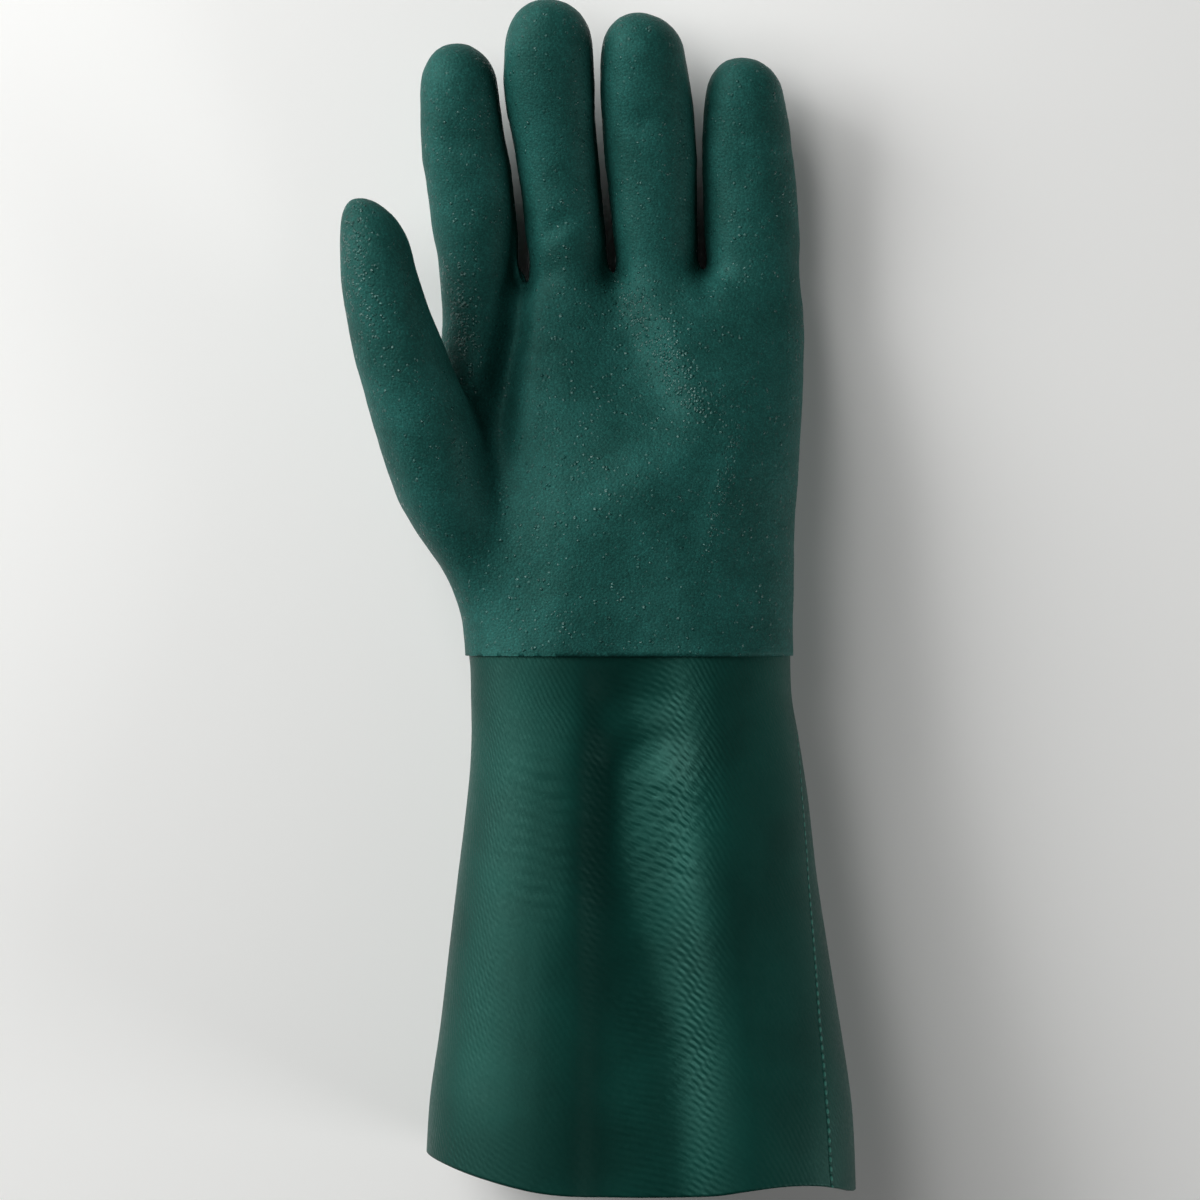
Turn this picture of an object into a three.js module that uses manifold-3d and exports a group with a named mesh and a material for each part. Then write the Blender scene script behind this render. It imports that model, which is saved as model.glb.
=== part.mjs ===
import * as THREE from 'three';
import { mergeVertices } from 'three/addons/utils/BufferGeometryUtils.js';
import Module from 'manifold-3d';

// A left-hand PVC coated work glove with a long cuff, lying on its back with the palm up.
// Millimetres. X runs from the thumb side (-) to the little finger side (+), Y from the hem (-)
// to the fingertips (+), Z up out of the palm. While it is modelled, Y is 0 at the lower edge
// of the sandy coat and X is 0 on the middle line of the forearm.

const wasm = await Module();
wasm.setup();

// Lengths
const cuffLength = 157;      // hem to the lower edge of the sandy coat
const palmLength = 114;      // that edge to the crotches of the fingers
const middleLength = 83;     // crotches to the tip of the middle finger
const indexLength = 70;
const ringLength = 79;
const littleLength = 66;
const thumbLength = 134;     // from the edge of the sandy coat to the thumb's tip

// Widths and heights of the body, outside
const hemWidth = 127.8;
const wristWidth = 97.5;
const palmWidth = 110.2;
const hemHeight = 70;
const wristHeight = 50;
const palmHeight = 44;
const knuckleHeight = 28.5;
const fingerHeight = 26;     // across a finger, from its back to its front
const thumbHeight = 29;
const press = 3;             // how far the soft back is pressed flat where it lies
const cuffRoundness = 2.8;   // 2 is an ellipse, more is boxier
const knuckleRoundness = 2.8;
const digitRoundness = 2.15;

// Walls
const sandyCoat = 0.7;       // thickness of the second dip
const cuffWall = 1.3;        // knit and first dip
const clearance = 0.3;       // between the two pieces
const tuck = 8;              // length of the cuff under the sandy coat
const handWall = sandyCoat + clearance + cuffWall;
const stepReach = 30;        // the cuff comes out to its full width over this length

// Fineness of the faceted skins
const bodySides = 44;
const fingerSides = 18;
const innerFingerSides = 14;
const ringStep = 10.5;         // longest distance between two rings of a skin
const domeRings = 4;         // rings in a rounded end

const gloveLength = cuffLength + palmLength + middleLength;
const sandyGreen = 0x1f4a42;
const smoothGreen = 0x1c4b42;

const mix = (a, b, share) => a + (b - a) * share;
const fade = (share) => {
  const t = Math.min(Math.max(share, 0), 1);
  return t * t * (3 - 2 * t);
};

// The cuff's sections. down: share of cuffLength below the coat's edge. flare: share of the way
// from wristWidth to hemWidth. lean: shift of the middle, share of wristWidth. rise: share of the
// way from wristHeight to hemHeight.
const cuffRows = [
  { down: 1.00, flare: 1.000, lean: 0.024, rise: 1.00 },
  { down: 0.88, flare: 0.937, lean: 0.025, rise: 0.92 },
  { down: 0.73, flare: 0.752, lean: 0.023, rise: 0.76 },
  { down: 0.57, flare: 0.535, lean: 0.017, rise: 0.57 },
  { down: 0.42, flare: 0.327, lean: 0.013, rise: 0.38 },
  { down: 0.27, flare: 0.149, lean: 0.014, rise: 0.19 },
  { down: 0.17, flare: 0.036, lean: 0.008, rise: 0.08 },
  { down: 0.08, flare: 0.000, lean: -0.005, rise: 0.02 },
];

// The palm's sections. up: share of palmLength above the coat's edge. spread: share of the way
// from wristWidth to palmWidth. lean: as in the cuff. rise: share of the way from wristHeight to
// palmHeight. fall: share of the way from there to knuckleHeight.
const palmRows = [
  { up: 0.00, spread: 0.070, lean: -0.010, rise: 0.10, fall: 0.00 },
  { up: 0.155, spread: 0.315, lean: -0.025, rise: 0.45, fall: 0.00 },
  { up: 0.315, spread: 0.575, lean: -0.040, rise: 0.85, fall: 0.00 },
  { up: 0.525, spread: 0.803, lean: -0.036, rise: 1.00, fall: 0.15 },
  { up: 0.735, spread: 0.945, lean: -0.032, rise: 1.00, fall: 0.60 },
  { up: 0.91, spread: 1.000, lean: -0.030, rise: 1.00, fall: 1.00 },
];

// The fingers' sections. along: share of the finger's length beyond the crotches. left, right:
// its sides, shares of palmWidth. lift: how far its back has curled up, share of its length.
// size: share of fingerHeight.
const fingers = [
  {
    name: 'index',
    length: indexLength,
    tip: { across: -0.481, lift: 0.16 },
    rows: [
      { along: -0.50, left: -0.465, right: -0.340, lift: 0.10, size: 0.58 },
      { along: -0.24, left: -0.522, right: -0.312, lift: 0.02, size: 0.94 },
      { along: 0.00, left: -0.533, right: -0.302, lift: 0.00, size: 1.04 },
      { along: 0.12, left: -0.539, right: -0.310, lift: 0.01, size: 1.01 },
      { along: 0.34, left: -0.557, right: -0.323, lift: 0.04, size: 1.00 },
      { along: 0.55, left: -0.576, right: -0.341, lift: 0.08, size: 0.98 },
      { along: 0.77, left: -0.582, right: -0.366, lift: 0.13, size: 0.92 },
      { along: 0.83, left: -0.581, right: -0.368, lift: 0.145, size: 0.90 },
    ],
  },
  {
    name: 'middle',
    length: middleLength,
    tip: { across: -0.234, lift: 0.18 },
    rows: [
      { along: -0.42, left: -0.255, right: -0.090, lift: 0.05, size: 0.80 },
      { along: -0.21, left: -0.275, right: -0.069, lift: 0.01, size: 1.00 },
      { along: 0.00, left: -0.282, right: -0.061, lift: 0.00, size: 1.05 },
      { along: 0.10, left: -0.290, right: -0.070, lift: 0.01, size: 1.02 },
      { along: 0.29, left: -0.301, right: -0.084, lift: 0.03, size: 1.00 },
      { along: 0.47, left: -0.322, right: -0.097, lift: 0.065, size: 0.99 },
      { along: 0.65, left: -0.349, right: -0.106, lift: 0.11, size: 0.98 },
      { along: 0.79, left: -0.351, right: -0.104, lift: 0.15, size: 0.97 },
      { along: 0.84, left: -0.348, right: -0.109, lift: 0.16, size: 0.95 },
    ],
  },
  {
    name: 'ring',
    length: ringLength,
    tip: { across: 0.015, lift: 0.165 },
    rows: [
      { along: -0.44, left: -0.015, right: 0.158, lift: 0.05, size: 0.80 },
      { along: -0.22, left: -0.036, right: 0.178, lift: 0.01, size: 1.00 },
      { along: 0.00, left: -0.042, right: 0.185, lift: 0.00, size: 1.04 },
      { along: 0.11, left: -0.048, right: 0.179, lift: 0.01, size: 1.01 },
      { along: 0.30, left: -0.063, right: 0.175, lift: 0.03, size: 1.00 },
      { along: 0.49, left: -0.079, right: 0.173, lift: 0.065, size: 0.99 },
      { along: 0.68, left: -0.088, right: 0.161, lift: 0.11, size: 0.97 },
      { along: 0.84, left: -0.087, right: 0.143, lift: 0.15, size: 0.93 },
    ],
  },
  {
    name: 'little',
    length: littleLength,
    tip: { across: 0.298, lift: 0.12 },
    rows: [
      { along: -0.54, left: 0.255, right: 0.400, lift: 0.10, size: 0.56 },
      { along: -0.26, left: 0.215, right: 0.456, lift: 0.02, size: 0.90 },
      { along: 0.00, left: 0.203, right: 0.467, lift: 0.00, size: 1.00 },
      { along: 0.13, left: 0.198, right: 0.462, lift: 0.00, size: 0.98 },
      { along: 0.36, left: 0.194, right: 0.451, lift: 0.02, size: 0.96 },
      { along: 0.59, left: 0.191, right: 0.435, lift: 0.05, size: 0.94 },
      { along: 0.81, left: 0.199, right: 0.413, lift: 0.10, size: 0.88 },
    ],
  },
];

// The thumb's sections. up: share of thumbLength above the coat's edge. left, right: its sides,
// shares of palmWidth. lift: its lower side, share of thumbLength. size: share of thumbHeight.
const thumb = {
  tip: { across: -0.740, lift: 0.253 },
  rows: [
    { up: 0.06, left: -0.445, right: -0.230, lift: 0.035, size: 1.15 },
    { up: 0.14, left: -0.492, right: -0.262, lift: 0.035, size: 1.32 },
    { up: 0.22, left: -0.546, right: -0.296, lift: 0.045, size: 1.38 },
    { up: 0.31, left: -0.615, right: -0.328, lift: 0.062, size: 1.38 },
    { up: 0.40, left: -0.662, right: -0.366, lift: 0.090, size: 1.31 },
    { up: 0.49, left: -0.695, right: -0.412, lift: 0.118, size: 1.24 },
    { up: 0.58, left: -0.725, right: -0.451, lift: 0.146, size: 1.15 },
    { up: 0.67, left: -0.752, right: -0.500, lift: 0.175, size: 1.06 },
    { up: 0.76, left: -0.774, right: -0.538, lift: 0.203, size: 0.97 },
    { up: 0.853, left: -0.788, right: -0.585, lift: 0.232, size: 0.86 },
  ],
};

// Soft folds of the palm side. Each runs between two points: across, a share of wristWidth, and
// along, a share of gloveLength. reach: its half width, share of wristWidth. height: share of
// wristHeight, below 0 for a valley.
const folds = [
  { name: 'cuff valley', across: [-0.02, 0.02], along: [-0.05, -0.46], reach: 0.15, height: -0.13 },
  { name: 'cuff ridge', across: [0.22, 0.28], along: [-0.04, -0.46], reach: 0.15, height: 0.05 },
  { name: 'cuff swell', across: [-0.28, -0.34], along: [-0.10, -0.46], reach: 0.18, height: 0.04 },
  { name: 'thumb valley', across: [-0.42, -0.38], along: [0.24, 0.06], reach: 0.10, height: -0.06 },
  { name: 'palm swell', across: [0.10, 0.32], along: [0.09, 0.28], reach: 0.28, height: 0.05 },
];

// The hem's wave. y: place across, share of half of hemWidth. short: how much shorter the cuff is
// there, share of cuffLength.
const hemRows = [
  { y: -1.00, short: 0.068 },
  { y: -0.70, short: 0.030 },
  { y: -0.35, short: 0.002 },
  { y: 0.25, short: -0.005 },
  { y: 0.60, short: 0.013 },
  { y: 1.00, short: 0.021 },
];
const hemWaveReach = 60;     // the wave dies out this far above the hem
const crotchSlope = 0.07;    // the crotches rise towards the little finger

// A smooth value between rows that are sorted by y.
function smoothAt(rows, key, y) {
  let i = 1;
  while (i < rows.length - 1 && rows[i].y < y) i += 1;
  const a = rows[i - 1];
  const b = rows[i];
  const before = rows[Math.max(i - 2, 0)];
  const after = rows[Math.min(i + 1, rows.length - 1)];
  const span = b.y - a.y;
  const t = Math.min(Math.max((y - a.y) / span, 0), 1);
  const slopeA = (b[key] - before[key]) / (b.y - before.y) * span;
  const slopeB = (after[key] - a[key]) / (after.y - a.y) * span;
  const t2 = t * t;
  const t3 = t2 * t;
  return (2 * t3 - 3 * t2 + 1) * a[key] + (t3 - 2 * t2 + t) * slopeA
    + (3 * t2 - 2 * t3) * b[key] + (t3 - t2) * slopeB;
}

// Height of the folds at a point of the palm side.
function foldHeight(x, y) {
  let sum = 0;
  for (const fold of folds) {
    const from = new THREE.Vector2(fold.across[0] * wristWidth, fold.along[0] * gloveLength);
    const to = new THREE.Vector2(fold.across[1] * wristWidth, fold.along[1] * gloveLength);
    const run = to.clone().sub(from);
    const share = new THREE.Vector2(x, y).sub(from).dot(run) / run.lengthSq();
    const near = from.clone().addScaledVector(run, Math.min(Math.max(share, 0), 1));
    const away = near.distanceTo(new THREE.Vector2(x, y)) / (fold.reach * wristWidth);
    sum += fold.height * wristHeight * Math.exp(-away * away);
  }
  return sum;
}

// One section of the body or of a finger: a rounded box in the plane across the glove, given by
// its sides, its lower and its upper side. It is set in from them, and flat at the ground.
function ring(section, sides, inset, ground = inset) {
  const points = [];
  const middleX = (section.left + section.right) / 2;
  const middleZ = (section.low + section.high) / 2;
  const halfX = (section.right - section.left) / 2 - inset;
  const halfZ = (section.high - section.low) / 2 - inset;
  const power = 2 / section.roundness;
  for (let i = 0; i < sides; i += 1) {
    const angle = 2 * Math.PI * (i + 0.5) / sides;
    const c = Math.cos(angle);
    const s = Math.sin(angle);
    const x = middleX + halfX * Math.sign(c) * Math.abs(c) ** power;
    const z = middleZ + halfZ * Math.sign(s) * Math.abs(s) ** power;
    points.push({ x, y: section.y, z: Math.max(z, ground), upper: Math.max(s, 0) });
  }
  return points;
}

// Closes a stack of rings to a skin with flat or pointed ends.
function skin(rings) {
  const sides = rings[0].length;
  const positions = [];
  for (const points of rings) {
    for (const p of points) positions.push(p.x, p.y, p.z);
  }
  const index = [];
  for (let r = 0; r < rings.length - 1; r += 1) {
    for (let i = 0; i < sides; i += 1) {
      const a = r * sides + i;
      const b = r * sides + (i + 1) % sides;
      index.push(a, a + sides, b, b, a + sides, b + sides);
    }
  }
  for (const [r, turn] of [[0, false], [rings.length - 1, true]]) {
    const middle = positions.length / 3;
    const sum = new THREE.Vector3();
    for (let i = 0; i < sides; i += 1) {
      sum.add(new THREE.Vector3().fromArray(positions, 3 * (r * sides + i)));
    }
    sum.divideScalar(sides);
    positions.push(sum.x, sum.y, sum.z);
    for (let i = 0; i < sides; i += 1) {
      const a = r * sides + i;
      const b = r * sides + (i + 1) % sides;
      if (turn) index.push(middle, b, a);
      else index.push(middle, a, b);
    }
  }
  const geometry = new THREE.BufferGeometry();
  geometry.setAttribute('position', new THREE.Float32BufferAttribute(positions, 3));
  geometry.setIndex(index);
  return geometry;
}

// Heights along Y for the rings of a skin, from one end to the other.
function stations(from, to) {
  const count = Math.max(Math.ceil((to - from) / ringStep), 1);
  return Array.from({ length: count + 1 }, (_, i) => mix(from, to, i / count));
}

// Rows of the whole body, hem to knuckles, in millimetres.
const bodyRows = [
  ...cuffRows.map((row) => ({
    y: -row.down * cuffLength,
    width: mix(wristWidth, hemWidth, row.flare),
    middle: row.lean * wristWidth,
    high: mix(wristHeight, hemHeight, row.rise),
  })),
  ...palmRows.map((row) => ({
    y: row.up * palmLength,
    width: mix(wristWidth, palmWidth, row.spread),
    middle: row.lean * wristWidth,
    high: mix(mix(wristHeight, palmHeight, row.rise), knuckleHeight, row.fall),
  })),
];

function bodySection(y) {
  const width = smoothAt(bodyRows, 'width', y);
  const middle = smoothAt(bodyRows, 'middle', y);
  return {
    y,
    left: middle - width / 2,
    right: middle + width / 2,
    low: -press,
    high: smoothAt(bodyRows, 'high', y),
    roundness: mix(cuffRoundness, knuckleRoundness, fade(y / palmLength)),
  };
}

// The body's folds, the wave of its hem and the slope of the crotches.
function shapeBody(points) {
  return points.map((p) => {
    const toHem = fade((p.y + cuffLength) / -hemWaveReach + 1);
    const wave = smoothAt(hemRows, 'short', p.x / (hemWidth / 2)) * cuffLength;
    const toCrotch = Math.max(p.y / palmLength, 0) ** 2;
    return {
      x: p.x,
      y: p.y + wave * toHem + crotchSlope * p.x * toCrotch,
      z: p.z + foldHeight(p.x, p.y) * p.upper,
    };
  });
}

// The palm's skin, set in from its outside and rounded off between the fingers.
function palmSkin(from, inset) {
  const end = palmLength - knuckleHeight / 3;
  const rings = stations(from, end).map((y) => ring(bodySection(y), bodySides, inset));
  const last = bodySection(end);
  for (let i = 1; i <= domeRings; i += 1) {
    rings.push(domeRing(last, palmLength, i / domeRings, bodySides, inset, middleOf(last)));
  }
  return skin(rings.map(shapeBody));
}

// The cuff's skin between two places. Under the sandy coat it is narrower by that coat, and it
// comes out to the full width below the coat's edge.
function cuffSkin(from, to, inset) {
  const rings = stations(from, to).map((y) => {
    const under = 1 - fade(-y / stepReach);
    return ring(bodySection(y), bodySides, inset + under * (sandyCoat + clearance));
  });
  return skin(rings.map(shapeBody));
}

function middleOf(section) {
  return { x: (section.left + section.right) / 2, z: (section.low + section.high) / 2 };
}

// A ring of the rounded end beyond a last section, up to a tip. The share runs from 0 to 1.
function domeRing(last, tipY, share, sides, inset, tip) {
  const angle = Math.PI / 2 * share * 0.97;
  const size = Math.cos(angle);
  const along = Math.sin(angle);
  const from = middleOf(last);
  const x = mix(from.x, tip.x, along * along);
  const z = mix(from.z, tip.z, along * along);
  const halfX = ((last.right - last.left) / 2 - inset) * size;
  const halfZ = ((last.high - last.low) / 2 - inset) * size;
  const y = last.y + (tipY - last.y - inset) * along;
  const section = { y, left: x - halfX, right: x + halfX, low: z - halfZ, high: z + halfZ };
  return ring({ ...section, roundness: last.roundness }, sides, 0, inset);
}

// The skin of a finger or thumb through its rows, with a rounded tip.
function digitSkin(rows, tipY, tip, inset) {
  const first = rows[0].y;
  const end = rows[rows.length - 1].y;
  const sectionAt = (y) => ({
    y,
    left: smoothAt(rows, 'left', y),
    right: smoothAt(rows, 'right', y),
    low: smoothAt(rows, 'low', y),
    high: smoothAt(rows, 'high', y),
    roundness: digitRoundness,
  });
  const sides = inset > 0 ? innerFingerSides : fingerSides;
  const rings = stations(first, end).map((y) => ring(sectionAt(y), sides, inset));
  const last = sectionAt(end);
  for (let i = 1; i <= domeRings; i += 1) {
    rings.push(domeRing(last, tipY, i / domeRings, sides, inset, tip));
  }
  return skin(rings);
}

function fingerSkin(finger, inset) {
  const rows = finger.rows.map((row) => {
    const low = row.lift * finger.length - press / 6;
    return {
      y: palmLength + row.along * finger.length,
      left: row.left * palmWidth,
      right: row.right * palmWidth,
      low,
      high: low + row.size * fingerHeight,
    };
  });
  const last = rows[rows.length - 1];
  const tip = {
    x: finger.tip.across * palmWidth,
    z: finger.tip.lift * finger.length + (last.high - last.low) / 2,
  };
  const shift = crotchSlope * tip.x / 2;
  for (const row of rows) row.y += shift;
  return digitSkin(rows, palmLength + finger.length, tip, inset);
}

function thumbSkin(inset) {
  const rows = thumb.rows.map((row) => ({
    y: row.up * thumbLength,
    left: row.left * palmWidth,
    right: row.right * palmWidth,
    low: row.lift * thumbLength,
    high: row.lift * thumbLength + row.size * thumbHeight,
  }));
  const last = rows[rows.length - 1];
  const tip = {
    x: thumb.tip.across * palmWidth,
    z: thumb.tip.lift * thumbLength + (last.high - last.low) / 2,
  };
  return digitSkin(rows, thumbLength, tip, inset);
}

function toSolid(geometry) {
  const bare = geometry.clone();
  bare.deleteAttribute('normal');
  bare.deleteAttribute('uv');
  const merged = mergeVertices(bare, 1e-4);
  return new wasm.Manifold(new wasm.Mesh({
    numProp: 3,
    vertProperties: merged.attributes.position.array,
    triVerts: new Uint32Array(merged.index.array),
  }));
}

function toGeometry(solid) {
  const mesh = solid.getMesh();
  const geometry = new THREE.BufferGeometry();
  geometry.setAttribute('position', new THREE.Float32BufferAttribute(mesh.vertProperties, 3));
  geometry.setIndex([...mesh.triVerts]);
  geometry.computeVertexNormals();
  return geometry;
}

// Palm, fingers and thumb as one body, set in from the outside.
function handBody(from, inset) {
  let solid = toSolid(palmSkin(from, inset));
  for (const finger of fingers) solid = solid.add(toSolid(fingerSkin(finger, inset)));
  return solid.add(toSolid(thumbSkin(inset)));
}

// The hand: both coats together, and over the tucked end of the cuff the sandy coat alone.
function sandyHand() {
  const seat = toSolid(cuffSkin(-tuck, tuck + clearance, -clearance));
  return toGeometry(handBody(0, 0).subtract(handBody(-tuck, handWall)).subtract(seat));
}

// The cuff: one coat, from the hem to its end under the sandy coat.
function gauntletCuff() {
  const outside = toSolid(cuffSkin(-cuffLength, tuck, 0));
  const inside = toSolid(cuffSkin(-cuffLength - tuck, 2 * tuck, cuffWall));
  return toGeometry(outside.subtract(inside));
}

function coatMaterial(name, color, roughness) {
  return new THREE.MeshStandardMaterial({ name, color, roughness, metalness: 0 });
}

const group = new THREE.Group();
const hand = new THREE.Mesh(sandyHand(), coatMaterial('sandy PVC', sandyGreen, 0.75));
hand.name = 'sandy_hand';
const cuff = new THREE.Mesh(gauntletCuff(), coatMaterial('smooth PVC', smoothGreen, 0.4));
cuff.name = 'gauntlet_cuff';
group.add(hand, cuff);

// The glove stands over the middle of its own outline, with the lowest point on the ground.
const box = new THREE.Box3().setFromObject(group);
const middle = box.getCenter(new THREE.Vector3());
group.position.set(-middle.x, -middle.y, -box.min.z);
group.updateMatrixWorld(true);

export default group;
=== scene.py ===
import math
import bpy
import bmesh
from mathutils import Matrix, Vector, noise


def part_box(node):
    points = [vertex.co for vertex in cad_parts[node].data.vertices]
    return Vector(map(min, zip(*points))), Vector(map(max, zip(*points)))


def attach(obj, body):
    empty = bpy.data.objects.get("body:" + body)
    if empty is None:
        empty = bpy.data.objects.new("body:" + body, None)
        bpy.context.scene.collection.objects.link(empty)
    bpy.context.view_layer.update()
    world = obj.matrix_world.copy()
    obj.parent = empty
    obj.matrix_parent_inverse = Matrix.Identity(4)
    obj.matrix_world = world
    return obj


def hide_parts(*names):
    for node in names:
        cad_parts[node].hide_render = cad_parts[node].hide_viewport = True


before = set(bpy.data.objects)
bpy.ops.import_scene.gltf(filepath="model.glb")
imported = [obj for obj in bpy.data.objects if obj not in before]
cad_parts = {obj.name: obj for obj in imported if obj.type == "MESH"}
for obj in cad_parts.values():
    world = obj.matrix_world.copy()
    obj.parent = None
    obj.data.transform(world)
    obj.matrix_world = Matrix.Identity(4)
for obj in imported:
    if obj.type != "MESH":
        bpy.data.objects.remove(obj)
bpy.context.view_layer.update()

mm = 0.001
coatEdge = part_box("sandy_hand")[0].y      # where the sandy coat ends on the wrist
print("stage: frame loaded, coat edge at", round(coatEdge, 4))


# camera straight above the palm, as in the photo, with the fingertips up
view = {
    "distance": 1.47,            # from the middle of the glove's height
    "height": 0.030,
    "frameWidth": 0.3588,        # what the picture takes in at that height
    "middleX": 0.0004,
    "middleY": -0.0029,
}

cameraData = bpy.data.cameras.new("photoCamera")
cameraData.sensor_width = 36
cameraData.lens = 36 * view["distance"] / view["frameWidth"]
cameraData.clip_start = 0.05
camera = bpy.data.objects.new("photoCamera", cameraData)
camera.location = (view["middleX"], view["middleY"], view["height"] + view["distance"])
bpy.context.scene.collection.objects.link(camera)
bpy.context.scene.camera = camera
bpy.context.scene.view_settings.view_transform = "Standard"      # dark greens stay as deep as measured


def srgb(code):                  # "#rrggbb" as the eye sees it, to linear
    parts = [int(code[i:i + 2], 16) / 255 for i in (1, 3, 5)]
    return [c / 12.92 if c <= 0.04045 else ((c + 0.055) / 1.055) ** 2.4 for c in parts] + [1]


def grey(v):
    return (v, v, v, 1)


def newMaterial(name):
    material = bpy.data.materials.new(name)
    material.use_nodes = True
    material.node_tree.nodes.clear()
    return material, material.node_tree


def addNode(tree, kind, settings=None, links=None, values=None):
    node = tree.nodes.new(kind)
    for key, value in (settings or {}).items():
        setattr(node, key, value)
    for key, value in (values or {}).items():
        node.inputs[key].default_value = value
    for key, source in (links or {}).items():
        tree.links.new(source, node.inputs[key])
    return node


# the five below add one node and give back what comes out of it
def addNoise(tree, place, sizeMm, detail, roughness=0.5):
    return addNode(tree, "ShaderNodeTexNoise", None, {"Vector": place},
                   {"Scale": 1000 / sizeMm, "Detail": detail, "Roughness": roughness}).outputs["Fac"]


def addMath(tree, operation, links, values=None):
    return addNode(tree, "ShaderNodeMath", {"operation": operation}, links, values).outputs["Value"]


def addMix(tree, blend, links, values=None):
    return addNode(tree, "ShaderNodeMixRGB", {"blend_type": blend}, links, values).outputs["Color"]


def addBump(tree, links, strength, highMm, invert=False):
    return addNode(tree, "ShaderNodeBump", {"invert": invert}, links,
                   {"Strength": strength, "Distance": highMm * mm}).outputs["Normal"]


def addRamp(tree, source, stops):
    ramp = addNode(tree, "ShaderNodeValToRGB", links={"Fac": source})
    while len(ramp.color_ramp.elements) > 1:
        ramp.color_ramp.elements.remove(ramp.color_ramp.elements[-1])
    first = ramp.color_ramp.elements[0]
    first.position, first.color = stops[0]
    for position, color in stops[1:]:
        ramp.color_ramp.elements.new(position).color = color
    return ramp.outputs["Color"]


# Sandy PVC: plastisol dip with grit thrown in before the cure. Dark, matte, with tiny wet-looking
# glints where a grain stands out.
sandyLook = {
    "base": "#1a4a45",
    "deep": "#133e39",
    "sheen": "#8fd9cc",          # the coat tints its own shine
    "glint": "#dcf7f0",          # grains that stand clear of it do so less
    "grainMm": 0.85,
    "grainHighMm": 0.45,
    "fineMm": 0.5,
    "fineHighMm": 0.13,
    "cloudMm": 16,               # soft changes of tone
    "patchMm": 24,               # the grit lies thicker in patches of about this size
}


def sandyPvc():
    material, tree = newMaterial("sandyPlastisolDip")
    place = addNode(tree, "ShaderNodeTexCoord").outputs["Object"]
    grain = addNode(tree, "ShaderNodeTexVoronoi", {"feature": "F1"}, {"Vector": place},
                    {"Scale": 1000 / sandyLook["grainMm"], "Randomness": 1.0}).outputs
    fine = addNoise(tree, place, sandyLook["fineMm"], 3.0, 0.7)
    cloud = addNoise(tree, place, sandyLook["cloudMm"], 3.0, 0.6)
    patch = addNoise(tree, place, sandyLook["patchMm"], 2.0)
    thick = addRamp(tree, patch, [(0.42, grey(0)), (0.62, grey(1))])
    pick = addNode(tree, "ShaderNodeSeparateColor", None, {"Color": grain["Color"]}).outputs
    # a few grains stand clear of the coat and shine, more of them where the grit is thick
    grit = addNode(tree, "ShaderNodeAttribute", {"attribute_name": "grit"}).outputs["Fac"]
    patchLift = addMath(tree, "MULTIPLY_ADD", {0: thick, 2: pick["Red"]}, {1: 0.04})
    lift = addMath(tree, "MULTIPLY_ADD", {0: grit, 2: patchLift}, {1: 0.45})
    proud = addRamp(tree, lift, [(0.94, grey(0)), (1.0, grey(1))])
    clouded = addRamp(tree, cloud, [(0.35, grey(0)), (0.65, grey(1))])
    tone = addMix(tree, "MIX", {"Fac": clouded},
                  {"Color1": srgb(sandyLook["deep"]), "Color2": srgb(sandyLook["base"])})
    shade = addRamp(tree, pick["Green"], [(0.0, grey(0.8)), (0.6, grey(1)), (1.0, grey(1.25))])
    grained = addMix(tree, "MULTIPLY", {"Color1": tone, "Color2": shade}, {"Fac": 0.6})
    mottle = addRamp(tree, fine, [(0.35, grey(0.75)), (0.5, grey(1)), (0.66, grey(1.7))])
    color = addMix(tree, "MULTIPLY", {"Color1": grained, "Color2": mottle}, {"Fac": 0.8})
    gloss = addRamp(tree, proud, [(0.0, grey(0.58)), (1.0, grey(0.27))])
    shine = addRamp(tree, proud, [(0.0, srgb(sandyLook["sheen"])), (1.0, srgb(sandyLook["glint"]))])
    # sunk grains show at about a third of their height
    low = addMath(tree, "MULTIPLY", {0: grain["Distance"]}, {1: 0.30})
    height = addMath(tree, "MULTIPLY_ADD", {0: proud, 1: grain["Distance"], 2: low})
    grainBump = addBump(tree, {"Height": height}, 0.8, sandyLook["grainHighMm"], invert=True)
    fineBump = addBump(tree, {"Height": fine, "Normal": grainBump}, 0.5, sandyLook["fineHighMm"])
    shader = addNode(tree, "ShaderNodeBsdfPrincipled", None,
                     {"Base Color": color, "Roughness": gloss, "Specular Tint": shine, "Normal": fineBump},
                     {"IOR": 1.50, "Specular IOR Level": 0.30})
    addNode(tree, "ShaderNodeOutputMaterial", None, {"Surface": shader.outputs["BSDF"]})
    return material


# Smooth PVC: the first dip alone, cured semi-gloss over interlock knit, whose stitches show
# through as slanting rows.
smoothLook = {
    "base": "#0e3b34",
    "deep": "#0b302a",
    "sheen": "#86dccb",
    "paintedStitchHighlight": "#3d8073",         # painted highlight on the side seam's stitches, a lighter teal
    "rowMm": 1.7,                # from one slanting row of stitches to the next
    "stitchMm": 3.0,             # one stitch along its row
    "slant": 0.55,
    "unevenMm": 9,               # the rows wander over about this length
    "knitHighMm": 0.11,
    "patchMm": 26,               # thick and thin places of the coat
    "tightMm": (2.5, 8.75, 32.5, 40),      # along x, the knit is drawn tight between the middle two
    "cloudMm": 30,
    "speckMm": 1.3,
    "speckHighMm": 0.15,
    "dashMm": 2.6,
    "seamHighMm": 0.6,
}


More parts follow.
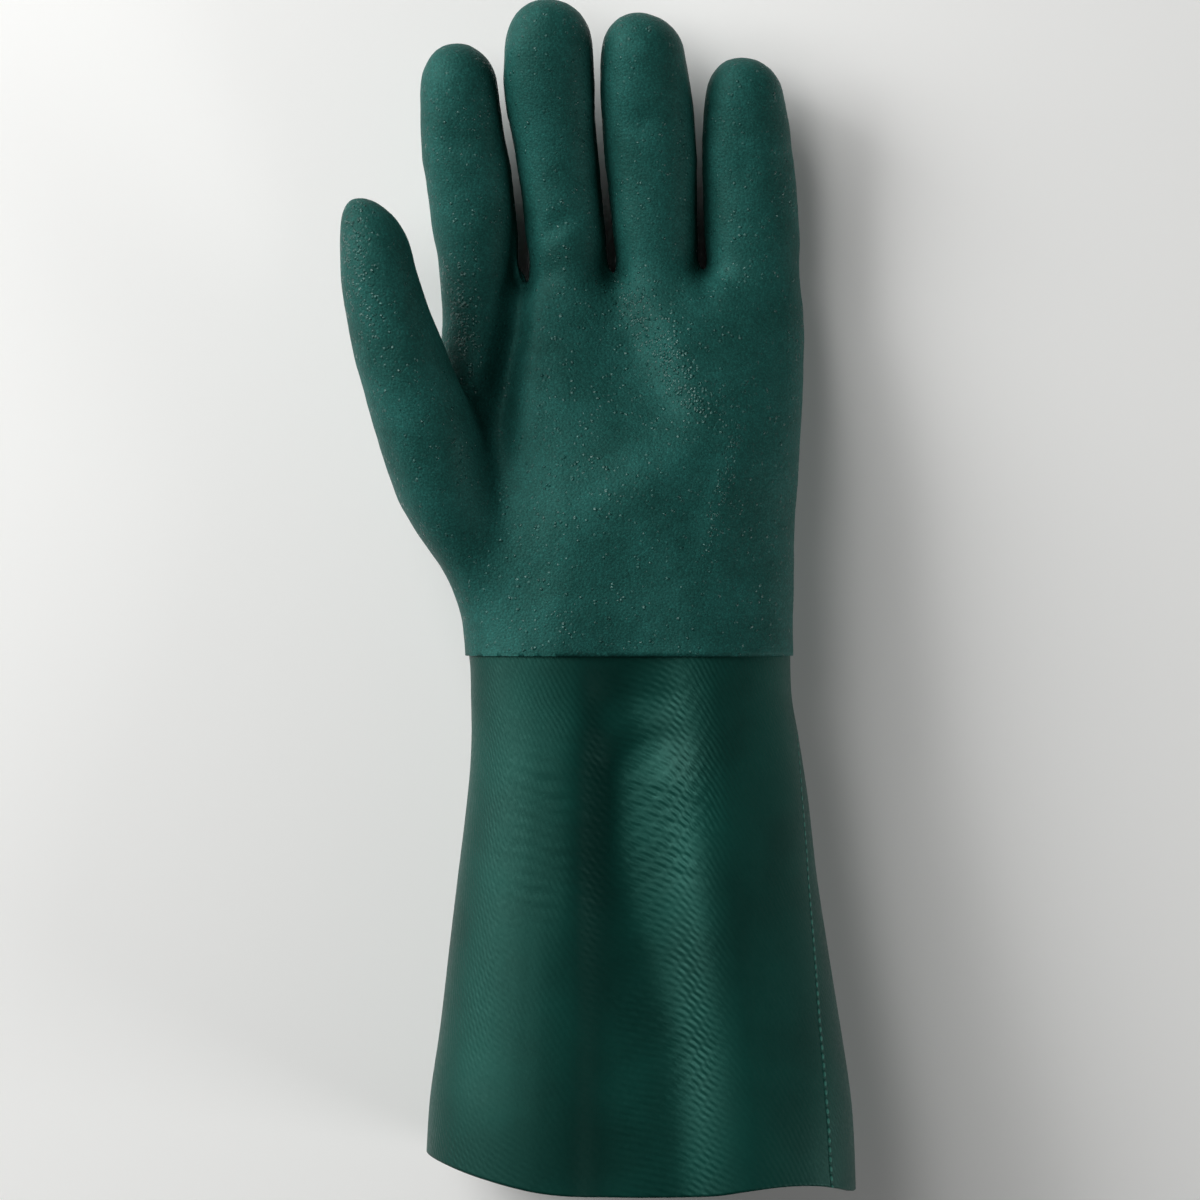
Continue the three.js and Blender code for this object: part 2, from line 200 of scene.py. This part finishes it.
def smoothPvc():
    material, tree = newMaterial("smoothPlastisolOverKnit")
    place = addNode(tree, "ShaderNodeTexCoord").outputs["Object"]
    around = addNode(tree, "ShaderNodeUVMap", {"uv_map": "aroundMm"}).outputs["UV"]
    split = addNode(tree, "ShaderNodeSeparateXYZ", None, {"Vector": around}).outputs
    # rows run down to the right, a little unevenly
    wobble = addNoise(tree, place, smoothLook["unevenMm"], 2.0)
    lean = addMath(tree, "MULTIPLY_ADD", {0: split["Y"], 2: split["X"]}, {1: smoothLook["slant"]})
    leanWobble = addMath(tree, "MULTIPLY_ADD", {0: wobble, 2: lean}, {1: 1.6})
    across = addMath(tree, "MULTIPLY", {0: leanWobble}, {1: 2 * math.pi / smoothLook["rowMm"]})
    ridge = addMath(tree, "SINE", {0: across})
    along = addMath(tree, "MULTIPLY", {0: split["Y"]}, {1: 2 * math.pi / smoothLook["stitchMm"]})
    alongRow = addMath(tree, "MULTIPLY_ADD", {0: across, 2: along}, {1: 0.5})
    loop = addMath(tree, "SINE", {0: alongRow})
    knit = addMath(tree, "MULTIPLY_ADD", {0: loop, 2: ridge}, {1: 0.6})
    # the coat is thicker in places, where the knit all but drowns
    patch = addNoise(tree, place, smoothLook["patchMm"], 2.0)
    thin = addRamp(tree, patch, [(0.36, grey(0.4)), (0.58, grey(1))])
    patchKnit = addMath(tree, "MULTIPLY", {0: knit, 1: thin})
    # it is drawn tight on the right wall of the valley, so it shows most and shines most there
    placed = addNode(tree, "ShaderNodeSeparateXYZ", None, {"Vector": place}).outputs
    acrossShare = addMath(tree, "MULTIPLY_ADD", {0: placed["X"]}, {1: 8.0, 2: 0.5})      # 0 to 1 in 125 mm
    places = [0.5 + x / 125 for x in smoothLook["tightMm"]]
    levels = [grey(0.35), grey(1), grey(1), grey(0.35)]
    tight = addRamp(tree, acrossShare, [(0.0, grey(0.35)), *zip(places, levels)])
    knitShown = addMath(tree, "MULTIPLY", {0: patchKnit, 1: tight})
    speck = addNoise(tree, place, smoothLook["speckMm"], 2.0, 0.6)
    cloud = addNoise(tree, place, smoothLook["cloudMm"], 3.0)
    clouded = addRamp(tree, cloud, [(0.35, grey(0)), (0.65, grey(1))])
    tone = addMix(tree, "MIX", {"Fac": clouded},
                  {"Color1": srgb(smoothLook["deep"]), "Color2": srgb(smoothLook["base"])})
    dull = addRamp(tree, speck, [(0.3, grey(0.46)), (0.7, grey(0.58))])
    shiny = addRamp(tree, speck, [(0.3, grey(0.38)), (0.7, grey(0.50))])
    gloss = addMix(tree, "MIX", {"Fac": tight, "Color1": dull, "Color2": shiny})
    # the liner's side seam stands up as a low ridge with its stitches as dashes
    seam = addNode(tree, "ShaderNodeAttribute", {"attribute_name": "fromSeamMm"}).outputs["Fac"]
    seamGap = addMath(tree, "ABSOLUTE", {0: seam})
    seamRidge = addRamp(tree, seamGap, [(0.0, grey(1)), (0.7, grey(0.7)), (1.0, grey(0))])
    dashWave = addMath(tree, "MULTIPLY", {0: split["Y"]}, {1: 2 * math.pi / smoothLook["dashMm"]})
    dash = addMath(tree, "SINE", {0: dashWave})
    dashed = addMath(tree, "MULTIPLY_ADD", {0: dash}, {1: 0.4, 2: 1.0})
    seamHeight = addMath(tree, "MULTIPLY", {0: seamRidge, 1: dashed})
    # the stitch dashes are painted lighter: a painted highlight, where the low light from the right catches
    # them
    paintedStitchHighlight = addRamp(tree, seamHeight, [(0.75, grey(0)), (1.0, grey(0.7))])
    toneWithStitchHighlight = addMix(tree, "MIX", {"Fac": paintedStitchHighlight, "Color1": tone}, {"Color2": srgb(smoothLook["paintedStitchHighlight"])})
    seamBump = addBump(tree, {"Height": seamHeight}, 0.9, smoothLook["seamHighMm"])
    knitBump = addBump(tree, {"Height": knitShown, "Normal": seamBump}, 0.7, smoothLook["knitHighMm"])
    speckBump = addBump(tree, {"Height": speck, "Normal": knitBump}, 0.35, smoothLook["speckHighMm"])
    shader = addNode(tree, "ShaderNodeBsdfPrincipled", None,
                     {"Base Color": toneWithStitchHighlight, "Roughness": gloss, "Normal": speckBump},
                     {"IOR": 1.50, "Specular IOR Level": 0.32, "Specular Tint": srgb(smoothLook["sheen"])})
    addNode(tree, "ShaderNodeOutputMaterial", None, {"Surface": shader.outputs["BSDF"]})
    return material


# Interlock cotton knit: the inside face of the same wall, undyed, soft and dull.
insideLook = {
    "dark": "#8f8a76",
    "light": "#c9c3ae",
    "ribMm": 1.2,
    "ribHighMm": 0.3,
}


def knitInside():
    material, tree = newMaterial("interlockCottonInside")
    place = addNode(tree, "ShaderNodeTexCoord").outputs["Object"]
    wave = addNode(tree, "ShaderNodeTexWave", {"wave_type": "BANDS", "bands_direction": "X"},
                   {"Vector": place},
                   {"Scale": 1000 / (insideLook["ribMm"] * 20), "Distortion": 1.5, "Detail": 2.0})
    rib = wave.outputs["Fac"]
    tint = addRamp(tree, rib, [(0.0, srgb(insideLook["dark"])), (1.0, srgb(insideLook["light"]))])
    bump = addBump(tree, {"Height": rib}, 0.6, insideLook["ribHighMm"])
    shader = addNode(tree, "ShaderNodeBsdfPrincipled", None, {"Base Color": tint, "Normal": bump},
                     {"Roughness": 0.95, "IOR": 1.45})
    addNode(tree, "ShaderNodeOutputMaterial", None, {"Surface": shader.outputs["BSDF"]})
    return material


sandyMaterial = sandyPvc()
smoothMaterial = smoothPvc()
insideMaterial = knitInside()
print("stage: materials made")


def outerSkin(node):             # of a welded copy, the CAD mesh is left alone
    bm = bmesh.new()
    bm.from_mesh(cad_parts[node].data)
    bmesh.ops.remove_doubles(bm, verts=bm.verts, dist=1e-6)
    bm.normal_update()
    rim = [f for f in bm.faces if abs(f.normal.y) > 0.6
           and (node == "gauntlet_cuff" or max(v.co.y for v in f.verts) < coatEdge + 0.05 * mm)]
    bmesh.ops.delete(bm, geom=rim, context="FACES_ONLY")
    start = max(bm.verts, key=lambda v: v.co.z)
    reached = {start}
    edgeOfReach = [start]
    while edgeOfReach:
        found = []
        for vert in edgeOfReach:
            for edge in vert.link_edges:
                other = edge.other_vert(vert)
                if edge.link_faces and other not in reached:
                    reached.add(other)
                    found.append(other)
        edgeOfReach = found
    bmesh.ops.delete(bm, geom=[v for v in bm.verts if v not in reached], context="VERTS")
    return bm


def linkObject(name, bm):
    mesh = bpy.data.meshes.new(name)
    bm.to_mesh(mesh)
    bm.free()
    made = bpy.data.objects.new(name, mesh)
    bpy.context.scene.collection.objects.link(made)
    return made


def applyModifiers(made):
    graph = bpy.context.evaluated_depsgraph_get()
    graph.update()
    mesh = bpy.data.meshes.new_from_object(made.evaluated_get(graph), depsgraph=graph)
    made.modifiers.clear()
    made.data = mesh


def addWall(made, thickMm, coat):      # inwards from the skin, knit inside, thinner by the vertex group
    wall = made.modifiers.new("wall", "SOLIDIFY")
    wall.thickness = thickMm * mm
    wall.offset = -1
    wall.vertex_group = made.vertex_groups[0].name if made.vertex_groups else ""
    wall.material_offset = 1
    applyModifiers(made)
    made.data.materials.clear()
    made.data.materials.append(coat)
    made.data.materials.append(insideMaterial)
    made.data.polygons.foreach_set("use_smooth", [True] * len(made.data.polygons))


def smoothStep(low, high, value):
    t = min(max((value - low) / (high - low), 0), 1)
    return t * t * (3 - 2 * t)


# A fold is a soft stroke in plan. Each of its points has x, y, the reach towards -x, the reach
# towards +x and the height there, all in mm.
def strokeHeight(x, y, strokes):
    total = 0
    for stroke in strokes:
        nearest = (1e9, 0, None)
        for a, b in zip(stroke, stroke[1:]):
            runX, runY = b[0] - a[0], b[1] - a[1]
            t = min(max(((x - a[0]) * runX + (y - a[1]) * runY) / (runX * runX + runY * runY), 0), 1)
            gapX, gapY = x - a[0] - t * runX, y - a[1] - t * runY
            away = math.hypot(gapX, gapY)
            if away < nearest[0]:
                nearest = (away, gapX, [p + (q - p) * t for p, q in zip(a[2:], b[2:])])
        away, gapX, (toLeft, toRight, height) = nearest
        reach = toRight if gapX > 0 else toLeft
        if away < 3 * reach:
            total += height * math.exp(-(away / reach) ** 2)
    return total


# the coat edge and the cuff below it sink together where the valley begins
wristFolds = [
    [(7, 16, 14, 14, 0), (8, 0, 14, 14, -1.6), (9, -24, 12, 14, -2.2), (11, -40, 12, 12, 0)],
]

# the hand, a pair in brackets is where something begins and where it is complete
hand = {
    "collarMm": 6,
    "voxelMm": 1.35,
    "gapOpenMm": 1.6,            # the fingers stand this much further apart while they are remeshed
    "gapWidthMm": 2.4,
    "smoothing": 10,
    "wallMm": 2.3,
    "lipMm": 0.7,                # the coat alone, over the cuff's end
    "tuckMm": (8.3, 9.8),        # how far above the coat's edge the lip grows to the full wall
    "lumpMm": 0.30,              # soft unevenness of the dipped wall
    "lumpSizeMm": 15,
    "fineLumpSizeMm": 5,
    "calmMm": (0, 3),            # height above the floor, so that the back stays flat
    "fullMm": 0.35,              # what the smoothing takes off the fingers is put back
    "fingersFromMm": (95, 110),
    "thumbFromMm": (-48, -58),
    "thumbTipMm": 2.0,           # the thumb is drawn out by this much
    "thumbDrawnMm": (86, 114),
    "thumbRightMm": -52,         # and only the thumb, which ends here to the right and upwards
    "thumbTopMm": 124,
}

# parts of the palm side that are smoothed further: box in plan, its soft border, times
softPlaces = [
    {"x": (-50, 64), "y": (82, 100), "border": 8, "times": 40},
    {"x": (-44, -22), "y": (-12, 36), "border": 12, "times": 110},
]

# middle lines of the gaps between the fingers in plan, mm, crotch first
fingerGaps = [
    [(-21.3, 92), (-22.3, 103), (-23.8, 118), (-26.0, 133), (-28.9, 148)],
    [(4.5, 94), (3.9, 103), (2.4, 118), (0.8, 133), (-0.2, 148), (-0.1, 162)],
    [(31.5, 96), (31.2, 103), (30.8, 118), (30.5, 133), (30.3, 148)],
]

handFolds = [
    # the dark valley between the index finger and the palm, down along the root of the thumb
    [(-22.4, 112, 4, 3, -2.0), (-23.2, 94, 6, 3, -6.2), (-24.5, 78, 6.5, 3.2, -7.6),
     (-27.5, 62, 6, 3.6, -7.6), (-29.5, 50, 6, 4.6, -5.4), (-31, 38, 8, 6, -3.4), (-33, 14, 11, 8, -2.8),
     (-37, -10, 10, 8, 0)],
    # where the thumb's web ends in it
    [(-41, 64, 4, 4, 0), (-36, 56, 4, 4, -1.6), (-30, 48, 4, 4, 0)],
    # ends of the other two gaps
    [(4.4, 108, 3, 3, -0.8), (4.8, 94, 3, 3, -2.0), (6.5, 82, 4, 4, 0)],
    [(31.2, 108, 3, 3, -0.8), (31.8, 94, 3, 3, -1.6), (33.5, 82, 4, 4, 0)],
    # hollow below the middle finger, with the pads right of it
    [(4.5, 97, 6, 4, -1.2), (7, 81, 13, 6, -3.8), (12, 67, 16, 7, -4.4), (19, 53, 15, 9, -2.8),
     (28, 42, 14, 9, 0)],
    [(17, 94, 5, 7, 0), (20, 80, 5, 8, 1.2), (27, 62, 6, 8, 1.6), (36, 48, 8, 8, 0)],
    # crease that runs down from them
    [(43, 54, 4, 6, 0), (40, 40, 4, 8, 0.9), (35, 20, 4, 8, 0.9), (30, -6, 4, 8, 0)],
    # broad swell across the palm
    [(-24, 12, 12, 12, 0), (-8, 20, 13, 13, 2.0), (14, 32, 13, 13, 2.4), (34, 46, 12, 12, 0)],
    # creases of the middle finger
    [(-20, 103, 3.5, 3.5, 0), (-13, 109, 3.5, 3.5, -1.2), (-6, 113, 3.5, 3.5, -0.8),
     (-2, 114, 3.5, 3.5, 0)],
    [(-20.5, 91, 3, 3, 0), (-15, 95, 3, 3, -0.7), (-9, 98, 3, 3, 0)],
    # bends at the upper joints of the index, the ring and the little finger
    [(-49, 133, 5, 5, 0), (-42, 134, 5, 5, -1.0), (-34, 136, 5, 5, 0)],
    [(5, 142, 4.5, 4.5, 0), (14, 140, 4.5, 4.5, -1.2), (23, 138, 4.5, 4.5, 0)],
    [(35, 126, 5, 5, 0), (43, 126, 5, 5, -0.8), (51, 126, 5, 5, 0)],
]

# where the grit lies thick: on the pads below the ring finger, on its crease and on two edges
gritPlaces = [
    [(4, 98, 5, 5, 0), (10, 84, 4, 6, 0.9), (20, 70, 5, 7, 1.0), (33, 52, 5, 6, 0.8), (38, 46, 4, 4, 0)],
    [(42, 52, 2, 2, 0), (40, 44, 2, 2, 0.9), (35, 22, 2, 2, 0.9), (29, -6, 2, 2, 0)],
    [(-45, 104, 3, 4, 0), (-43, 92, 3, 4, 0.9), (-41, 76, 3, 4, 1.0), (-36, 62, 3, 3, 0)],
    [(-73, 116, 3, 4, 0), (-73, 104, 3, 4, 1.0), (-70, 84, 3, 4, 0.6), (-64, 64, 3, 4, 0)],
]


def gapMiddle(line, y):
    if y <= line[0][1]:
        return line[0][0]
    for (xa, ya), (xb, yb) in zip(line, line[1:]):
        if y <= yb:
            return xa + (xb - xa) * (y - ya) / (yb - ya)
    return line[-1][0]


def spreadFingers(x, y):         # mm, moves x to the right of each gap
    moved = x
    for line in fingerGaps:
        spread = hand["gapOpenMm"] * smoothStep(line[0][1] - 4, line[0][1] + 5, y)
        moved += spread * min(max((x - gapMiddle(line, y)) / hand["gapWidthMm"] + 0.5, 0), 1)
    return moved


def closeFingers(x, y):          # undoes it by halving
    low, high = x - 4 * hand["gapOpenMm"], x
    for _ in range(18):
        middle = (low + high) / 2
        if spreadFingers(middle, y) < x:
            low = middle
        else:
            high = middle
    return (low + high) / 2


def moveAcross(bm, rule):        # only well above the knuckles
    for vert in bm.verts:
        if vert.co.y > 85 * mm:
            vert.co.x = rule(vert.co.x / mm, vert.co.y / mm) * mm


def soften(bm, verts):
    bmesh.ops.smooth_vert(bm, verts=verts, factor=0.5, use_axis_x=True, use_axis_y=True, use_axis_z=True)


def smoothPlace(bm, soft):       # on the palm side only, fading out over the border
    ranked = []
    for vert in bm.verts:
        x, y, z = vert.co / mm
        inside = min(x - soft["x"][0], soft["x"][1] - x, y - soft["y"][0], soft["y"][1] - y)
        share = min(smoothStep(-soft["border"], 0, inside), smoothStep(7, 12, z))
        if share > 0:
            ranked.append((share * soft["times"], vert))
    for turn in range(soft["times"]):
        soften(bm, [vert for times, vert in ranked if times > turn])


def makeHand():
    bm = outerSkin("sandy_hand")
    # a short collar past the edge gives the remesh room, and is cut off after it
    border = [e for e in bm.edges if e.is_boundary]
    collar = bmesh.ops.extrude_edge_only(bm, edges=border)["geom"]
    bmesh.ops.translate(bm, vec=(0, -hand["collarMm"] * mm, 0),
                        verts=[g for g in collar if isinstance(g, bmesh.types.BMVert)])
    bmesh.ops.holes_fill(bm, edges=[e for e in bm.edges if e.is_boundary], sides=0)
    bmesh.ops.triangulate(bm, faces=[f for f in bm.faces if len(f.verts) > 4])
    bmesh.ops.recalc_face_normals(bm, faces=bm.faces)
    moveAcross(bm, spreadFingers)
    made = linkObject("sandy_hand_coat", bm)
    remesh = made.modifiers.new("voxels", "REMESH")
    remesh.mode = "VOXEL"
    remesh.voxel_size = hand["voxelMm"] * mm
    applyModifiers(made)
    bm = bmesh.new()
    bm.from_mesh(made.data)
    moveAcross(bm, closeFingers)
    for _ in range(hand["smoothing"]):
        soften(bm, bm.verts)
    for soft in softPlaces:
        smoothPlace(bm, soft)
    bm.normal_update()
    grit = bm.verts.layers.float.new("grit")
    lumpSize, fineLumpSize = hand["lumpSizeMm"] * mm, hand["fineLumpSizeMm"] * mm
    for vert in bm.verts:
        upper = smoothStep(0.1, 0.6, vert.normal.z)
        x, y, z = [c / mm for c in vert.co]
        vert[grit] = min(strokeHeight(x, y, gritPlaces), 1) * smoothStep(-0.2, 0.2, vert.normal.z)
        lump = noise.noise(vert.co / lumpSize) + 0.4 * noise.noise(vert.co / fineLumpSize)
        calm = smoothStep(*hand["calmMm"], z)
        digits = max(smoothStep(*hand["fingersFromMm"], y), smoothStep(*hand["thumbFromMm"], x))
        vert.co += vert.normal * (hand["lumpMm"] * lump + hand["fullMm"] * digits) * calm * mm
        if upper > 0:
            vert.co.z += strokeHeight(x, y, handFolds + wristFolds) * upper * mm
        if x < hand["thumbRightMm"] and y < hand["thumbTopMm"]:
            vert.co.y += hand["thumbTipMm"] * smoothStep(*hand["thumbDrawnMm"], y) * mm
        vert.co.z = max(vert.co.z, 0)
    bmesh.ops.bisect_plane(bm, geom=bm.verts[:] + bm.edges[:] + bm.faces[:], dist=1e-7,
                           plane_co=(0, coatEdge, 0), plane_no=(0, 1, 0), clear_inner=True)
    bm.normal_update()
    weight = bm.verts.layers.deform.verify()
    for vert in bm.verts:
        up = smoothStep(*hand["tuckMm"], (vert.co.y - coatEdge) / mm)
        vert[weight][0] = hand["lipMm"] / hand["wallMm"] * (1 - up) + up
    bm.to_mesh(made.data)
    bm.free()
    made.vertex_groups.new(name="wall")
    addWall(made, hand["wallMm"], sandyMaterial)
    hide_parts("sandy_hand")
    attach(made, "root")
    return made


handPiece = makeHand()
print("stage: hand made,", len(handPiece.data.polygons), "faces")


# the cuff, a pair in brackets is where something begins and where it is complete
cuff = {
    "around": 240,               # faces around and along
    "along": 120,
    "wallMm": 1.3,
    "cornerMm": 4.6,             # the hem hangs lower at the side with the seam, fading in along x, y and z
    "cornerAcrossMm": (36, 70),
    "cornerDownMm": (-145, -177),
    "cornerLowMm": (68, 44),
    "rippleMm": 0.22,
    "rippleEveryMm": 4.2,
    "seamTopMm": 57,             # how far to the side the seam runs, at its two ends
    "seamHemMm": 68.5,
    "seamSteps": 20,
    "girthRing": 8,              # the ring whose girth sets the knit's scale
}

cuffFolds = [
    # the dark valley, steep on its left, with its notch, wider towards the hem
    [(8, -20, 8, 12, 0), (10, -32, 8, 14, -2.0), (14, -45, 9, 12, -3.8), (7, -54, 8, 15, -3.5),
     (7, -75, 8, 18, -3.5), (11, -92, 9, 15, -3.8), (18, -110, 13, 12, -4.6), (25, -135, 15, 11, -4.8),
     (30, -170, 15, 11, -3.6), (31, -200, 15, 11, -3.0)],
    # the flat left of it
    [(-6, -24, 6, 6, 0), (-6, -40, 6, 6, 1.2), (-7, -90, 6, 6, 1.2), (-9, -112, 6, 6, 0)],
]


def cuffRings():                 # the skin's own rings from the hem up, each in order around
    bm = outerSkin("gauntlet_cuff")
    border = [v for v in bm.verts if any(e.is_boundary for e in v.link_edges)]
    middle = sum(v.co.y for v in border) / len(border)
    ring = [v for v in border if v.co.y < middle]
    seen = set(ring)
    rings = []
    while ring:
        left, right = min(v.co.x for v in ring), max(v.co.x for v in ring)
        centre = Vector(((left + right) / 2, 0, max(v.co.z for v in ring) / 2))
        ring.sort(key=lambda v: math.atan2(v.co.x - centre.x, v.co.z - centre.z))
        rings.append([v.co.copy() for v in ring])
        found = {e.other_vert(v) for v in ring for e in v.link_edges} - seen
        seen |= found
        ring = list(found)
    bm.free()
    return rings


def between(a, b, c, d, t):      # smooth curve through b and c
    return b + 0.5 * t * (c - a + t * (2 * a - 5 * b + 4 * c - d + t * (3 * (b - c) + d - a)))


def skinPoint(rings, share, up):       # share of the way around, share of the way up
    count = len(rings[0])
    at = share * count
    i, t = int(at), at - int(at)
    row = up * (len(rings) - 1)
    r = min(int(row), len(rings) - 2)
    points = []
    for k in (r - 1, r, r + 1, r + 2):
        ring = rings[min(max(k, 0), len(rings) - 1)]
        points.append(between(*[ring[(i + j) % count] for j in (-1, 0, 1, 2)], t))
    return between(*points, row - r)


def ripple(x, y):                # small cross folds on the two sides of the valley
    right = math.exp(-((x - 22) / 13) ** 2) * smoothStep(-92, -78, y) * smoothStep(-44, -54, y)
    left = math.exp(-((x + 13) / 11) ** 2) * smoothStep(-105, -88, y) * smoothStep(-34, -48, y)
    wander = 2 * noise.noise(Vector((x, y, 0)) / 9)
    wave = math.sin(2 * math.pi * (y + 0.25 * x + wander) / cuff["rippleEveryMm"])
    return cuff["rippleMm"] * wave * (right + left)


def seamShare(rings, up):        # on the upper half, or at the very side where that is nearer in
    aim = (cuff["seamHemMm"] + (cuff["seamTopMm"] - cuff["seamHemMm"]) * up) * mm
    shares = [0.5 + 0.0025 * i for i in range(101)]
    return next((share for share in shares if skinPoint(rings, share, up).x > aim), 0.75)


def makeCuff():
    rings = cuffRings()
    ring = rings[cuff["girthRing"]]
    girth = sum((b - a).length for a, b in zip(ring, ring[1:] + ring[:1])) / mm
    bm = bmesh.new()
    bm.loops.layers.uv.new("aroundMm")
    bmesh.ops.create_grid(bm, x_segments=cuff["around"], y_segments=cuff["along"], size=0.5,
                          calc_uvs=True)
    layer = bm.loops.layers.uv["aroundMm"]
    fromSeam = bm.verts.layers.float.new("fromSeamMm")
    steps = cuff["seamSteps"]
    seams = [seamShare(rings, i / steps) for i in range(steps + 1)]
    for vert in bm.verts:
        share, up = (vert.co.x + 0.5) % 1, vert.co.y + 0.5
        row = min(int(up * steps), steps - 1)
        seam = seams[row] + (seams[row + 1] - seams[row]) * (up * steps - row)
        vert[fromSeam] = (share - seam) * girth
        vert.co = skinPoint(rings, share, up)
    for face in bm.faces:
        for loop in face.loops:
            loop[layer].uv = (loop[layer].uv.x * girth, loop.vert.co.y / mm)
    bmesh.ops.remove_doubles(bm, verts=bm.verts, dist=1e-6)
    bmesh.ops.recalc_face_normals(bm, faces=bm.faces)
    bm.normal_update()
    for vert in bm.verts:
        upper = smoothStep(0.0, 0.5, vert.normal.z)
        x, y = vert.co.x / mm, vert.co.y / mm
        if upper > 0:
            vert.co.z += strokeHeight(x, y, cuffFolds + wristFolds) * upper * mm
            vert.co.z += ripple(x, y) * upper * mm
        seamSide = smoothStep(*cuff["cornerAcrossMm"], x) * smoothStep(*cuff["cornerLowMm"], vert.co.z / mm)
        vert.co.y -= cuff["cornerMm"] * seamSide * smoothStep(*cuff["cornerDownMm"], y) * mm
        vert.co.z = max(vert.co.z, 0)
    made = linkObject("smooth_cuff", bm)
    addWall(made, cuff["wallMm"], smoothMaterial)
    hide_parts("gauntlet_cuff")
    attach(made, "root")
    return made


cuffPiece = makeCuff()
print("stage: cuff made,", len(cuffPiece.data.polygons), "faces")


# pale floor and soft studio light: the key from the left, a low one from the right, two from above
studio = {
    "floor": "#f8f8f6",
    "world": 0.03,
    "lights": [
        {"name": "keyLight", "place": (-1.36, 0.55, 0.70), "size": 0.9, "watts": 24},
        {"name": "rimLight", "place": (1.30, -0.55, 0.36), "size": 0.6, "watts": 8.5},
        {"name": "upperLight", "place": (-0.80, 1.10, 0.66), "size": 0.9, "watts": 10.5},
        {"name": "highLight", "place": (-0.55, 0.35, 1.25), "size": 0.6, "watts": 3.5},
    ],
}


def makeStudio():
    bm = bmesh.new()
    bmesh.ops.create_grid(bm, x_segments=1, y_segments=1, size=3.0)
    floor = linkObject("pale_floor", bm)
    material, tree = newMaterial("paleStudioFloor")
    shader = addNode(tree, "ShaderNodeBsdfPrincipled", None, None,
                     {"Base Color": srgb(studio["floor"]), "Roughness": 0.9})
    addNode(tree, "ShaderNodeOutputMaterial", None, {"Surface": shader.outputs["BSDF"]})
    floor.data.materials.append(material)
    world = bpy.data.worlds.new("studioWorld")
    bpy.context.scene.world = world
    world.use_nodes = True
    world.node_tree.nodes["Background"].inputs["Color"].default_value = (1, 1, 1, 1)
    world.node_tree.nodes["Background"].inputs["Strength"].default_value = studio["world"]
    for row in studio["lights"]:
        light = bpy.data.lights.new(row["name"], "AREA")
        light.energy = row["watts"]
        light.size = row["size"]
        lamp = bpy.data.objects.new(row["name"], light)
        lamp.location = row["place"]
        lamp.rotation_euler = (-Vector(row["place"])).to_track_quat("-Z", "Y").to_euler()
        bpy.context.scene.collection.objects.link(lamp)


makeStudio()
print("stage: studio made")
